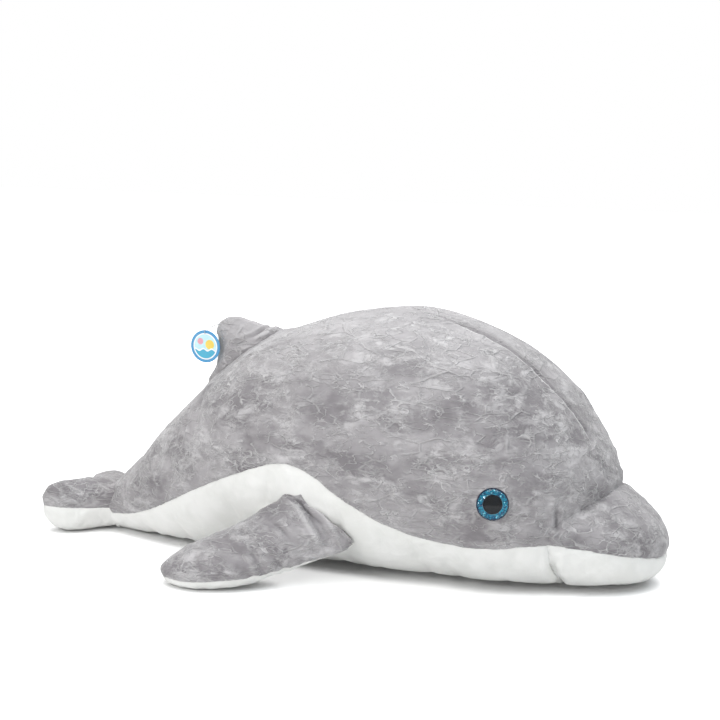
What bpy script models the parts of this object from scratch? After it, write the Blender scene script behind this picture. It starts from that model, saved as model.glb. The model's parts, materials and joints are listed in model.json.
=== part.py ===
"""A large plush dolphin that lies on its belly, flippers and flukes spread on the floor.

The skin is sewn from cloth panels, and each is a shell of its own: a grey back panel on either side
of the ridge seam, a white belly panel, and the beak, dorsal fin, flippers and flukes, which are sewn
on. Stuffing fills them. Plastic eyes are locked through the skin by a post and a washer.

Sizes are in metres. +X is the beak, +Y the dolphin's left and +Z up. The origin is on the floor,
under the belly.
"""
import math
from collections import namedtuple

import bmesh
import bpy
from mathutils import Matrix, Vector

# Body: tail end to the beak's seam at the side, widest, and floor to the top of the back
BODY_LENGTH = 0.831
BODY_WIDTH = 0.428
BODY_HEIGHT = 0.403
TAIL_REACH = 0.446  # from the origin back to the tail's end

# Beak: from its seam at the side to the tip, and its size at that seam
BEAK_LENGTH = 0.144
BEAK_WIDTH = 0.300
BEAK_HEIGHT = 0.160

# Dorsal fin: base along the ridge, tip above the ridge, full thickness
FIN_LENGTH = 0.153
FIN_HEIGHT = 0.071
FIN_THICKNESS = 0.060
FIN_PLACE = 5.35  # body section that the middle of the base stands on

# Flippers: root to tip, across the paddle, full thickness
FLIPPER_LENGTH = 0.264
FLIPPER_WIDTH = 0.132
FLIPPER_THICKNESS = 0.076
FLIPPER_PLACE = 8.0  # body section that the root is sewn to
FLIPPER_ROOT_ANGLE = math.radians(-15)  # below the body's widest line
FLIPPER_SINK = 0.022  # root centre under the body's skin
FLIPPER_REST = 0.014  # height of the tip's seam over the floor

# Tail flukes: tip to tip, front to back, full thickness
FLUKE_WIDTH = 0.216
FLUKE_LENGTH = 0.140
FLUKE_THICKNESS = 0.088
FLUKE_LAP = 0.055  # the flukes' front edge lies this far inside the tail's end
FLUKE_SEAM_HEIGHT = 0.43  # height of their edge seam over the floor, as a share of the thickness

# Cloth and the clearances between pieces that touch
CLOTH = 0.003
FIT_GAP = 0.0003
SEAM_GAP = 0.0003

# Eyes
EYE_DIAMETER = 0.048
EYE_PLACE = 11.75  # body section
EYE_RISE = 0.273  # share of the way round from the colour seam to the ridge
LENS_HEIGHT = 0.011
LENS_EDGE = 0.0015
IRIS_THICKNESS = 0.001
PUPIL_DIAMETER = 0.027
POST_DIAMETER = 0.006
POST_LENGTH = 0.016
WASHER_DIAMETER = 0.022
WASHER_THICKNESS = 0.002
WASHER_ROOM = 0.0026  # skin's inner side, at the post, to the washer: the skin curves away

# Swing tag on its nylon loop
TAG_DIAMETER = 0.053
TAG_THICKNESS = 0.0008
TAG_HOLE = 0.004
TAG_HOLE_INSET = 0.005  # hole's centre under the tag's top edge
TAG_OFFSET = Vector((-0.0100, -0.0135, -0.0115))  # tag's hole from the loop's exit at the fin's side
LOOP_DIAMETER = 0.001
LOOP_INSET = 0.007  # the loop pierces the fin this far in from its back edge
LOOP_STANDOFF = 0.005  # the loop's bends outside the fin's side
LOOP_ROW = 4.3  # fin row that the loop pierces
# The loop's two bends behind the fin: back from its edge, across as a share of the bends outside its
# side, and down
LOOP_BENDS = ((0.004, 0.8, 0.004), (0.008, -0.2, 0.007))

# Fineness of the meshes
RING_SPACING = 0.036
LOWER_STEPS = 4
UPPER_STEPS = 7
EYE_STEP = 2  # the upper step that the eyes lie on
BLADE_STEPS = 12
ROUND_STEPS = 16
CORD_SIDES = 6
SHARP_ANGLE = math.radians(50)
MERGE_DISTANCE = 1e-5

PINCH = 0.65  # height of the line that the body's two ends close to, as a share of the last section
NOSE = 0.006  # that line beyond the last section

# Roundness of the cross-sections of the body and of the blades, where 1 is an ellipse
SIDE_ROUNDNESS = 0.84
EDGE_ROUNDNESS = 0.80

# Panels of each form
GREY_RIGHT, GREY_LEFT, WHITE, BEAK_GREY, BEAK_WHITE, CAP = range(6)
UPPER, LOWER = 0, 1

# Body sections from tail to head. Along: shares of the body's length from the tail's end, at the
# side and at the ridge. Top, widest line, colour seam, underside: shares of the height. Half: share
# of the half width. An underside below the floor gives a flat belly.
Section = namedtuple("Section", "name side ridge top widest half seam under")
BODY_SECTIONS = (
    Section("tail end", 0.000, 0.007, 0.12, 0.089, 0.08, 0.079, 0.030),
    Section("tail", 0.012, 0.022, 0.19, 0.099, 0.21, 0.082, 0.002),
    Section("stock", 0.043, 0.049, 0.23, 0.119, 0.29, 0.082, -0.010),
    Section("loin", 0.103, 0.103, 0.325, 0.161, 0.40, 0.104, -0.015),
    Section("flank", 0.188, 0.188, 0.515, 0.228, 0.56, 0.174, -0.017),
    Section("rump", 0.284, 0.284, 0.695, 0.293, 0.72, 0.278, -0.020),
    Section("fin", 0.392, 0.392, 0.85, 0.347, 0.86, 0.380, -0.022),
    Section("waist", 0.513, 0.513, 0.945, 0.377, 0.96, 0.462, -0.022),
    Section("flipper", 0.585, 0.585, 0.98, 0.385, 0.99, 0.409, -0.022),
    Section("crown", 0.657, 0.675, 1.00, 0.387, 1.00, 0.313, -0.020),
    Section("brow", 0.765, 0.789, 0.955, 0.372, 0.99, 0.223, -0.015),
    Section("forehead", 0.856, 0.897, 0.855, 0.342, 0.96, 0.194, -0.012),
    Section("cheek", 0.928, 0.986, 0.69, 0.308, 0.89, 0.199, -0.010),
    Section("jaw", 0.972, 1.050, 0.51, 0.278, 0.80, 0.211, -0.007),
)
# Beak sections, as shares of the beak's length from its seam, its height and its half width
BEAK_SECTIONS = (
    Section("beak seam", 0.000, 0.400, 0.92, 0.61, 1.00, 0.54, -0.019),
    Section("beak", 0.319, 0.580, 0.82, 0.53, 0.86, 0.49, -0.019),
    Section("snout", 0.617, 0.790, 0.69, 0.44, 0.68, 0.43, -0.006),
    Section("nose", 0.830, 0.915, 0.58, 0.38, 0.46, 0.38, 0.050),
    Section("tip", 0.935, 0.975, 0.45, 0.34, 0.22, 0.33, 0.188),
)

# Flipper rows from root to tip. Back, out: centre line from the root, shares of the length. Lift:
# share of the root's height. Swing, tilt: turn of the chord from +X towards the side, and its dip,
# in degrees. Chord: share of the width. Thick: share of the thickness.
FlipperRow = namedtuple("FlipperRow", "back out lift swing tilt chord thick")
FLIPPER_ROWS = (
    FlipperRow(-0.03, -0.20, 1.15, 0, 37, 1.00, 0.46),
    FlipperRow(0.00, 0.00, 1.00, -2, 37, 1.03, 0.66),
    FlipperRow(0.13, 0.06, 0.69, 5, 36, 0.96, 0.94),
    FlipperRow(0.36, 0.17, 0.38, 34, 31, 0.87, 1.00),
    FlipperRow(0.58, 0.265, 0.20, 59, 17, 0.94, 0.90),
    FlipperRow(0.76, 0.295, 0.09, 71, 10, 0.84, 0.68),
    FlipperRow(0.87, 0.30, 0.03, 76, 7, 0.50, 0.42),
    FlipperRow(0.91, 0.30, 0.00, 80, 3, 0.15, 0.00),
)

# Fluke rows from the middle to one tip. Out: share of the half span. Front, back: edges behind the
# flukes' front line, shares of the length. Thick: share of the thickness. Lift: of the thickness.
FlukeRow = namedtuple("FlukeRow", "out front back thick lift")
FLUKE_ROWS = (
    FlukeRow(0.00, 0.00, 0.85, 0.88, 0.00),
    FlukeRow(0.28, 0.06, 0.95, 1.00, 0.00),
    FlukeRow(0.60, 0.24, 1.00, 0.98, 0.02),
    FlukeRow(0.87, 0.48, 0.97, 0.80, 0.04),
    FlukeRow(1.00, 0.68, 0.86, 0.00, 0.06),
)

# Fin rows from the root, inside the back, to the tip. Edges from the middle of the base: ahead and
# behind as shares of the length, up as shares of the height. Thick: share of the thickness.
FinRow = namedtuple("FinRow", "front front_up back back_up thick")
FIN_ROWS = (
    FinRow(0.80, 0.40, -0.58, -1.30, 1.00),
    FinRow(0.52, 0.66, -0.47, -0.68, 0.92),
    FinRow(0.27, 0.83, -0.39, -0.18, 0.78),
    FinRow(0.06, 0.94, -0.36, 0.28, 0.62),
    FinRow(-0.10, 1.00, -0.38, 0.63, 0.44),
    FinRow(-0.22, 1.00, -0.35, 0.83, 0.00),
)


def smooth(values, place):
    """Value at a fractional row number, on a smooth curve through the rows' values."""
    last = len(values) - 1
    row = min(int(place), last - 1)
    part = place - row
    start = values[row]
    end = values[row + 1]
    before = values[max(row - 1, 0)]
    after = values[min(row + 2, last)]
    out_slope = (end - before) * (0.5 if row > 0 else 1.0)
    in_slope = (after - start) * (0.5 if row + 1 < last else 1.0)
    square = part * part
    cube = square * part
    return (
        start * (2 * cube - 3 * square + 1)
        + out_slope * (cube - 2 * square + part)
        + end * (3 * square - 2 * cube)
        + in_slope * (cube - square)
    )


def point_on(points, place):
    """Point at a fractional point number, on a smooth line through the points."""
    return Vector([smooth([point[axis] for point in points], place) for axis in range(3)])


def measured(section, start, length, half_width, height):
    """A section's shares turned into metres."""
    return Section(
        section.name,
        start + section.side * length,
        start + section.ridge * length,
        section.top * height,
        section.widest * height,
        section.half * half_width,
        section.seam * height,
        section.under * height,
    )


def body_sections():
    """All sections of body and beak, in metres."""
    beak_start = BODY_LENGTH - TAIL_REACH
    body = [measured(s, -TAIL_REACH, BODY_LENGTH, BODY_WIDTH / 2, BODY_HEIGHT) for s in BODY_SECTIONS]
    beak = [measured(s, beak_start, BEAK_LENGTH, BEAK_WIDTH / 2, BEAK_HEIGHT) for s in BEAK_SECTIONS]
    return body + beak


SECTIONS = body_sections()
BEAK_SEAM = len(BODY_SECTIONS)


def section_at(place):
    """The smoothed section at a fractional section number."""
    fields = range(1, len(Section._fields))
    numbers = [smooth([section[field] for section in SECTIONS], place) for field in fields]
    return Section("between", *numbers)


def seam_angle(section):
    """Angle of the colour seam above or below the widest line."""
    reach = section.top if section.seam > section.widest else section.under
    return math.asin((section.seam - section.widest) / abs(reach - section.widest))


def body_point(place, angle, side=-1):
    """Point of the body's outer form: the angle runs from -90 degrees below to 90 at the ridge."""
    section = section_at(place)
    rise = math.sin(angle)
    spread = max(math.cos(angle), 0.0) ** SIDE_ROUNDNESS
    if rise > 0:
        height = section.widest + (section.top - section.widest) * rise
        along = section.side + (section.ridge - section.side) * rise * rise
    else:
        height = section.widest + (section.widest - section.under) * rise
        along = section.side
    return Vector((along, side * section.half * spread, max(height, 0.0)))


def body_normal(place, angle, side=-1):
    """Outward direction of the body's form."""
    step = 0.02  # of a section number, and of a radian
    along = body_point(place + step, angle, side) - body_point(place - step, angle, side)
    up = body_point(place, angle + step, side) - body_point(place, angle - step, side)
    outward = along.cross(up).normalized()
    return outward if outward.y * side > 0 else -outward


def upper_share(step):
    """Share of the way from the colour seam to the ridge at a step of the ring; one step is the eyes'."""
    if step <= EYE_STEP:
        return EYE_RISE * step / EYE_STEP
    return EYE_RISE + (1 - EYE_RISE) * (step - EYE_STEP) / (UPPER_STEPS - EYE_STEP)


def lower_angles(section, seam):
    """Angles of the ring's steps under the colour seam, the first of them flat on the floor."""
    below = -math.pi / 2
    even_step = (seam - below) / LOWER_STEPS
    flat = below + even_step
    if section.under < 0:
        floor_edge = math.asin(-section.widest / (section.widest - section.under))
        flat = max(floor_edge, below + even_step / 2)
    others = LOWER_STEPS - 1
    return [below] + [flat + (seam - flat) * i / others for i in range(others)]


def body_ring(place):
    """One ring of the body, from the belly's middle over the right side and the ridge to the left."""
    section = section_at(place)
    seam = seam_angle(section)
    above = math.pi / 2
    angles = lower_angles(section, seam)
    angles += [seam + (above - seam) * upper_share(i) for i in range(UPPER_STEPS + 1)]
    right = [body_point(place, angle) for angle in angles]
    left = [Vector((p.x, -p.y, p.z)) for p in reversed(right[1:-1])]
    return right + left


def pinched(ring, nose):
    """The ring drawn in to a short upright line on the middle plane, a little beyond its end."""
    middle = (ring[0].z + ring[LOWER_STEPS + UPPER_STEPS].z) / 2
    line = [Vector((p.x + nose, 0.0, middle + (p.z - middle) * PINCH)) for p in ring]
    return closed_up(line, LOWER_STEPS + UPPER_STEPS)


def closed_up(flat_ring, far):
    """A ring flattened to a line, with both of its end points dropped onto their neighbours."""
    flat_ring[0] = flat_ring[1].copy()
    flat_ring[far] = flat_ring[far - 1].copy()
    return flat_ring


def body_places():
    """Fractional section numbers about one ring spacing apart, one of them through the eyes."""
    places = [0.0]
    for number in range(len(SECTIONS) - 1):
        length = SECTIONS[number + 1].side - SECTIONS[number].side
        steps = max(1, round(length / RING_SPACING))
        places += [number + (i + 1) / steps for i in range(steps)]
    nearest = min(range(len(places)), key=lambda i: abs(places[i] - EYE_PLACE))
    places[nearest] = EYE_PLACE
    return places


def face_outwards(form):
    """Turn the faces of a closed mesh to point out."""
    bmesh.ops.recalc_face_normals(form, faces=form.faces[:])
    if form.calc_volume(signed=True) < 0:
        bmesh.ops.reverse_faces(form, faces=form.faces[:])


def closed_form(rings, panel_of, cap_start=False):
    """Closed outer form through rings of points, each face marked with its panel."""
    form = bmesh.new()
    rows = [[form.verts.new(point) for point in ring] for ring in rings]
    count = len(rings[0])
    for i in range(len(rows) - 1):
        for j in range(count):
            after = (j + 1) % count
            face = form.faces.new((rows[i][j], rows[i][after], rows[i + 1][after], rows[i + 1][j]))
            face.material_index = panel_of(i, j)
    if cap_start:
        cap = form.faces.new(rows[0])
        cap.material_index = CAP
    bmesh.ops.remove_doubles(form, verts=form.verts[:], dist=MERGE_DISTANCE)
    bmesh.ops.triangulate(form, faces=form.faces[:])
    face_outwards(form)
    return form


def body_form():
    """Outer form of body and beak."""
    places = body_places()
    rings = [body_ring(place) for place in places]
    beak_ring = places.index(float(BEAK_SEAM)) + 1
    half = LOWER_STEPS + UPPER_STEPS
    rings.insert(0, pinched(rings[0], -NOSE))
    rings.append(pinched(rings[-1], NOSE))

    def panel_of(ring, step):
        grey = LOWER_STEPS <= step < 2 * half - LOWER_STEPS
        if ring >= beak_ring:
            return BEAK_GREY if grey else BEAK_WHITE
        if not grey:
            return WHITE
        return GREY_RIGHT if step < half else GREY_LEFT

    return closed_form(rings, panel_of)


def blade_ring(front, back, thickness, up):
    """Ring around a blade from its front edge over the upper side to its back edge and under it."""
    ring = []
    for step in range(BLADE_STEPS):
        angle = 2 * math.pi * step / BLADE_STEPS
        bulge = math.copysign(abs(math.sin(angle)) ** EDGE_ROUNDNESS, math.sin(angle))
        point = (front + back) / 2 + (front - back) / 2 * math.cos(angle) + up * bulge * thickness / 2
        ring.append(Vector((point.x, point.y, max(point.z, 0.0))))
    return ring if thickness else closed_up(ring, BLADE_STEPS // 2)


def blade_panel(_ring, step):
    """Upper or lower panel of a blade."""
    return UPPER if step < BLADE_STEPS // 2 else LOWER


def halves(rows):
    """Row numbers and the halfway places between them."""
    return [i / 2 for i in range(2 * len(rows) - 1)]


def row_at(rows, place):
    """A row of shares, smoothed at a fractional place."""
    return type(rows[0])(*[smooth([row[field] for row in rows], place) for field in range(len(rows[0]))])


def flipper_form(side):
    """Outer form of a flipper, sewn on at the body's side and lying back and out on the floor."""
    sewn = body_point(FLIPPER_PLACE, FLIPPER_ROOT_ANGLE, side)
    root = sewn - body_normal(FLIPPER_PLACE, FLIPPER_ROOT_ANGLE, side) * FLIPPER_SINK
    centres = []
    for row in FLIPPER_ROWS:
        lift = FLIPPER_REST + (root.z - FLIPPER_REST) * row.lift
        out = side * row.out * FLIPPER_LENGTH
        centres.append(Vector((root.x - row.back * FLIPPER_LENGTH, root.y + out, lift)))
    rings = []
    nearby = 0.1  # of a row number, for the centre line's direction
    for place in halves(FLIPPER_ROWS):
        row = row_at(FLIPPER_ROWS, place)
        centre = point_on(centres, place)
        swing = math.radians(row.swing)
        tilt = math.radians(row.tilt)
        level = Vector((math.cos(swing), side * math.sin(swing), 0))
        chord = level * math.cos(tilt) - Vector((0, 0, math.sin(tilt)))
        before = point_on(centres, max(place - nearby, 0))
        after = point_on(centres, min(place + nearby, len(centres) - 1))
        up = (after - before).cross(chord).normalized()
        if up.z < 0:
            up = -up
        half_chord = chord * row.chord * FLIPPER_WIDTH / 2
        thickness = row.thick * FLIPPER_THICKNESS
        rings.append(blade_ring(centre + half_chord, centre - half_chord, thickness, up))
    return closed_form(rings, blade_panel, cap_start=True)


def fluke_form():
    """Outer form of both tail flukes, one piece from tip to tip, lying flat."""
    front_line = FLUKE_LAP - TAIL_REACH
    rings = []
    outs = [-place for place in reversed(halves(FLUKE_ROWS))] + halves(FLUKE_ROWS)[1:]
    for place in outs:
        row = row_at(FLUKE_ROWS, abs(place))
        across = math.copysign(row.out, place) * FLUKE_WIDTH / 2
        height = FLUKE_THICKNESS * (FLUKE_SEAM_HEIGHT + row.lift)
        front = Vector((front_line - row.front * FLUKE_LENGTH, across, height))
        back = Vector((front_line - row.back * FLUKE_LENGTH, across, height))
        rings.append(blade_ring(front, back, row.thick * FLUKE_THICKNESS, Vector((0, 0, 1))))
    return closed_form(rings, blade_panel)


def fin_edges(place):
    """Front and back edge of the dorsal fin at a fractional row, and the row."""
    base = body_point(FIN_PLACE, math.pi / 2)
    row = row_at(FIN_ROWS, place)
    front = base + Vector((row.front * FIN_LENGTH, 0, row.front_up * FIN_HEIGHT))
    back = base + Vector((row.back * FIN_LENGTH, 0, row.back_up * FIN_HEIGHT))
    return front, back, row


def fin_form():
    """Outer form of the dorsal fin."""
    rings = []
    for place in halves(FIN_ROWS):
        front, back, row = fin_edges(place)
        rings.append(blade_ring(front, back, row.thick * FIN_THICKNESS, Vector((0, -1, 0))))
    return closed_form(rings, blade_panel, cap_start=True)


def draw_back(form, distance):
    """Move the open edge of a sheet back along the sheet."""
    pulls = {}
    bluntest = 0.5  # a sharper corner of the edge is drawn back as if it were this blunt
    for edge in form.edges:
        if not edge.is_boundary:
            continue
        face = edge.link_faces[0]
        line = (edge.verts[1].co - edge.verts[0].co).normalized()
        inward = face.calc_center_median() - edge.verts[0].co
        inward -= line * inward.dot(line)
        for vertex in edge.verts:
            pulls.setdefault(vertex, []).append(inward.normalized())
    for vertex, inwards in pulls.items():
        along = sum(inwards, Vector()).normalized()
        vertex.co += along * distance / max(along.dot(inwards[0]), bluntest)


def cloth_panel(form, panel):
    """Closed cloth shell over the form's faces of that panel, drawn back from its seams."""
    sheet = form.copy()
    outward = sheet.verts.layers.float_vector.new("outward")
    for vertex in sheet.verts:
        vertex[outward] = vertex.normal
    others = [face for face in sheet.faces if face.material_index != panel]
    bmesh.ops.delete(sheet, geom=others, context="FACES")
    draw_back(sheet, SEAM_GAP / 2)
    made = bmesh.ops.extrude_face_region(sheet, geom=sheet.faces[:], use_keep_orig=True)
    for item in made["geom"]:
        if isinstance(item, bmesh.types.BMVert):
            item.co -= item[outward] * CLOTH
    face_outwards(sheet)
    return sheet


def moved_form(form, distance):
    """The closed form with its surface moved outwards, or inwards if negative."""
    moved = form.copy()
    shifts = [(vertex, vertex.normal * distance) for vertex in moved.verts]
    for vertex, shift in shifts:
        vertex.co += shift
    return moved


def turned(profile, ring=False):
    """Round piece turned about Z from a profile of (radius, height) points."""
    piece = bmesh.new()
    verts = [piece.verts.new((radius, 0, height)) for radius, height in profile]
    edges = [piece.edges.new(pair) for pair in zip(verts, verts[1:])]
    if ring:
        edges.append(piece.edges.new((verts[-1], verts[0])))
    bmesh.ops.spin(
        piece, geom=verts + edges, cent=(0, 0, 0), axis=(0, 0, 1), angle=2 * math.pi, steps=ROUND_STEPS
    )
    bmesh.ops.remove_doubles(piece, verts=piece.verts[:], dist=MERGE_DISTANCE)
    face_outwards(piece)
    return piece


def tube(points, radius):
    """Closed loop of round cord through the points."""
    rings = []
    count = len(points)
    for i, point in enumerate(points):
        along = (points[(i + 1) % count] - points[i - 1]).normalized()
        first = along.cross(Vector((0, 0, 1))).normalized()
        second = along.cross(first)
        ring = []
        for step in range(CORD_SIDES):
            angle = 2 * math.pi * step / CORD_SIDES
            ring.append(point + (first * math.cos(angle) + second * math.sin(angle)) * radius)
        rings.append(ring)
    rings.append(rings[0])
    return closed_form(rings, blade_panel)


Finish = namedtuple("Finish", "colour roughness metallic transmission", defaults=(0.0, 0.0))
GREY_PLUSH = Finish((0.37, 0.35, 0.36), 0.9)
WHITE_PLUSH = Finish((0.83, 0.83, 0.80), 0.9)
FILLING = Finish((0.90, 0.90, 0.88), 1.0)
CLEAR_PLASTIC = Finish((0.90, 0.95, 0.97), 0.03, transmission=1.0)
GLITTER = Finish((0.02, 0.25, 0.33), 0.3, metallic=0.6)
BLACK_PLASTIC = Finish((0.005, 0.008, 0.012), 0.15)
PALE_PLASTIC = Finish((0.85, 0.85, 0.82), 0.5)
NYLON = Finish((0.85, 0.87, 0.88), 0.3)
CARD = Finish((0.75, 0.86, 0.92), 0.4)
UNSEEN = Finish((0.5, 0.5, 0.5), 0.5)


def material(name, finish):
    """Principled material of one sub-part."""
    made = bpy.data.materials.new(name)
    made.use_nodes = True
    shader = made.node_tree.nodes["Principled BSDF"]
    shader.inputs["Base Color"].default_value = (*finish.colour, 1.0)
    shader.inputs["Roughness"].default_value = finish.roughness
    shader.inputs["Metallic"].default_value = finish.metallic
    shader.inputs["Transmission Weight"].default_value = finish.transmission
    return made


def make_piece(name, form, finish, seat=None):
    """Make the named object from a bmesh, with its own material."""
    mesh = bpy.data.meshes.new(name)
    for face in form.faces:
        face.material_index = 0
    bmesh.ops.triangulate(form, faces=form.faces[:])
    form.to_mesh(mesh)
    form.free()
    mesh.shade_smooth()
    mesh.set_sharp_from_angle(angle=SHARP_ANGLE)
    mesh.materials.append(material(name, finish))
    piece = bpy.data.objects.new(name, mesh)
    bpy.context.scene.collection.objects.link(piece)
    if seat:
        piece.matrix_world = seat
    return piece


def cutter(name, form, seat=None):
    """Hidden tool for cutting other pieces."""
    piece = make_piece(name, form, UNSEEN, seat)
    piece.hide_render = True
    piece.display_type = "WIRE"
    return piece


def cut(piece, tool):
    """Take the tool's shape out of the piece."""
    modifier = piece.modifiers.new("cut by " + tool.name, "BOOLEAN")
    modifier.operation = "DIFFERENCE"
    modifier.solver = "EXACT"
    modifier.object = tool


def build_body():
    """Back, belly and beak panels over one stuffing; returns what the eyes and limbs need."""
    form = body_form()
    sides = {}
    for side, panel in (("right", GREY_RIGHT), ("left", GREY_LEFT)):
        sides[side] = make_piece("back_panel_" + side, cloth_panel(form, panel), GREY_PLUSH)
    make_piece("belly_panel", cloth_panel(form, WHITE), WHITE_PLUSH)
    make_piece("beak_upper", cloth_panel(form, BEAK_GREY), GREY_PLUSH)
    make_piece("beak_lower", cloth_panel(form, BEAK_WHITE), WHITE_PLUSH)
    stuffing = make_piece("body_stuffing", moved_form(form, -CLOTH - FIT_GAP), FILLING)
    body_tool = cutter("body_outline", moved_form(form, FIT_GAP))
    form.free()
    return sides, stuffing, body_tool


def build_limb(names, form, cloths, tools):
    """Two cloth panels over their stuffing, cut by the tools: the body that they are sewn on, and holes."""
    upper, lower, stuffing = names
    pieces = [
        make_piece(upper, cloth_panel(form, UPPER), cloths[0]),
        make_piece(lower, cloth_panel(form, LOWER), cloths[1]),
        make_piece(stuffing, moved_form(form, -CLOTH - FIT_GAP), FILLING),
    ]
    form.free()
    for piece in pieces:
        for tool in tools:
            cut(piece, tool)


def eye_seat(side):
    """Placement of an eye: on the body's skin, facing straight out."""
    seam = seam_angle(section_at(EYE_PLACE))
    angle = seam + (math.pi / 2 - seam) * EYE_RISE
    outward = body_normal(EYE_PLACE, angle, side)
    seat = outward.to_track_quat("Z", "Y").to_matrix().to_4x4()
    seat.translation = body_point(EYE_PLACE, angle, side) + outward * FIT_GAP
    return seat


def lens_profile():
    """Clear dome with a flat back, over the iris."""
    radius = EYE_DIAMETER / 2
    back = IRIS_THICKNESS + FIT_GAP
    rise = LENS_HEIGHT - LENS_EDGE
    ball = (radius * radius + rise * rise) / (2 * rise)
    profile = [(0, back), (radius, back)]
    arcs = 4
    sweep = math.asin(radius / ball)
    for i in range(arcs):
        angle = sweep * (1 - i / arcs)
        profile.append((ball * math.sin(angle), back + LENS_HEIGHT - ball * (1 - math.cos(angle))))
    profile.append((0, back + LENS_HEIGHT))
    return profile


def build_eye(side_name, side, skin, stuffing):
    """Lens, glitter iris, pupil with its post, and the washer that locks it behind the skin."""
    seat = eye_seat(side)
    pupil = PUPIL_DIAMETER / 2
    post = POST_DIAMETER / 2
    rim = EYE_DIAMETER / 2
    front = IRIS_THICKNESS
    make_piece("eye_lens_" + side_name, turned(lens_profile()), CLEAR_PLASTIC, seat)
    iris = [(pupil + FIT_GAP, 0), (rim, 0), (rim, front), (pupil + FIT_GAP, front)]
    make_piece("eye_iris_" + side_name, turned(iris, ring=True), GLITTER, seat)
    stem = [(0, front), (pupil, front), (pupil, 0), (post, 0), (post, -POST_LENGTH), (0, -POST_LENGTH)]
    make_piece("eye_pupil_" + side_name, turned(stem), BLACK_PLASTIC, seat)
    washer_front = -CLOTH - WASHER_ROOM
    washer_back = washer_front - WASHER_THICKNESS
    bore = post + FIT_GAP
    washer = WASHER_DIAMETER / 2
    ring = [(bore, washer_back), (washer, washer_back), (washer, washer_front), (bore, washer_front)]
    make_piece("eye_washer_" + side_name, turned(ring, ring=True), PALE_PLASTIC, seat)

    hole = [(0, CLOTH), (bore, CLOTH), (bore, -POST_LENGTH), (0, -POST_LENGTH)]
    cut(skin, cutter("post_hole_" + side_name, turned(hole), seat))
    wide = washer + FIT_GAP
    deep = -POST_LENGTH - FIT_GAP
    pocket = [(0, CLOTH), (wide, CLOTH), (wide, deep), (0, deep)]
    cut(stuffing, cutter("washer_pocket_" + side_name, turned(pocket), seat))


def loop_hole():
    """Where the tag's loop pierces the fin, just inside its back edge near the tip."""
    front, back, row = fin_edges(LOOP_ROW)
    return back + (front - back).normalized() * LOOP_INSET, row.thick * FIN_THICKNESS / 2


def sideways_drill(name, radius, centre):
    """Hidden round tool across the dolphin, through the centre."""
    reach = FIN_THICKNESS
    rod = turned([(0, reach), (radius, reach), (radius, -reach), (0, -reach)])
    bmesh.ops.rotate(rod, verts=rod.verts[:], matrix=Matrix.Rotation(math.radians(90), 3, "X"))
    return cutter(name, rod, Matrix.Translation(centre))


def build_tag():
    """Swing tag on a nylon loop through the fin's back edge."""
    pierced, half_fin = loop_hole()
    across = half_fin + LOOP_STANDOFF
    exit_point = pierced - Vector((0, across, 0))
    hole = exit_point + TAG_OFFSET
    behind = TAG_THICKNESS / 2 + LOOP_DIAMETER
    knots = [exit_point, pierced + Vector((0, across, 0))]
    for back, share, down in LOOP_BENDS:
        knots.append(pierced + Vector((-LOOP_INSET - back, across * share, -down)))
    over_edge = Vector((LOOP_DIAMETER, -2 * behind, TAG_HOLE_INSET + 2 * LOOP_DIAMETER))
    knots += [hole + Vector((0, behind, 0)), hole - Vector((0, behind, 0)), hole + over_edge]
    path = [knots[0]]
    for i in range(1, len(knots)):
        window = [knots[(i + offset) % len(knots)] for offset in range(-1, 3)]
        path += [knots[i], point_on(window, 1.5)]
    make_piece("tag_loop", tube(path, LOOP_DIAMETER / 2), NYLON)

    disc = [(0, 0), (TAG_DIAMETER / 2, 0), (TAG_DIAMETER / 2, TAG_THICKNESS), (0, TAG_THICKNESS)]
    seat = Matrix.Translation(hole - Vector((0, 0, TAG_DIAMETER / 2 - TAG_HOLE_INSET)))
    seat @= Matrix.Rotation(math.radians(90), 4, "X")
    seat @= Matrix.Translation((0, 0, -TAG_THICKNESS / 2))
    tag = make_piece("swing_tag", turned(disc), CARD, seat)
    cut(tag, sideways_drill("tag_hole", TAG_HOLE / 2, hole))


def main():
    """Build the dolphin in an empty scene."""
    for old in list(bpy.data.objects):
        bpy.data.objects.remove(old)
    sides, stuffing, body_tool = build_body()
    pierced, _half_fin = loop_hole()
    loop_tool = sideways_drill("loop_hole", LOOP_DIAMETER, pierced)
    fin_names = ("dorsal_fin_right", "dorsal_fin_left", "dorsal_fin_stuffing")
    build_limb(fin_names, fin_form(), (GREY_PLUSH, GREY_PLUSH), [loop_tool, body_tool])
    for name, side in (("right", -1), ("left", 1)):
        panels = ["flipper_" + name + part for part in ("_upper", "_lower", "_stuffing")]
        build_limb(panels, flipper_form(side), (GREY_PLUSH, WHITE_PLUSH), [body_tool])
        build_eye(name, side, sides[name], stuffing)
    fluke_names = ("fluke_upper", "fluke_lower", "fluke_stuffing")
    build_limb(fluke_names, fluke_form(), (GREY_PLUSH, WHITE_PLUSH), [body_tool])
    build_tag()


main()
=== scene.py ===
# %% [markdown]
# # A large plush dolphin
# The toy is sewn from short-pile plush and filled with fibre. Its solids hold the real sizes and the
# places of the sewn seams, and this lesson dresses them. The skins are inflated as cloth, creased along
# given lines, cut apart along their seams again and given the look of crushed plush.

# %% Load the solids
import json
import math
from collections import namedtuple

import bmesh
import bpy
import numpy as np
from mathutils import Matrix, Vector, noise
from mathutils.bvhtree import BVHTree

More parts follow.
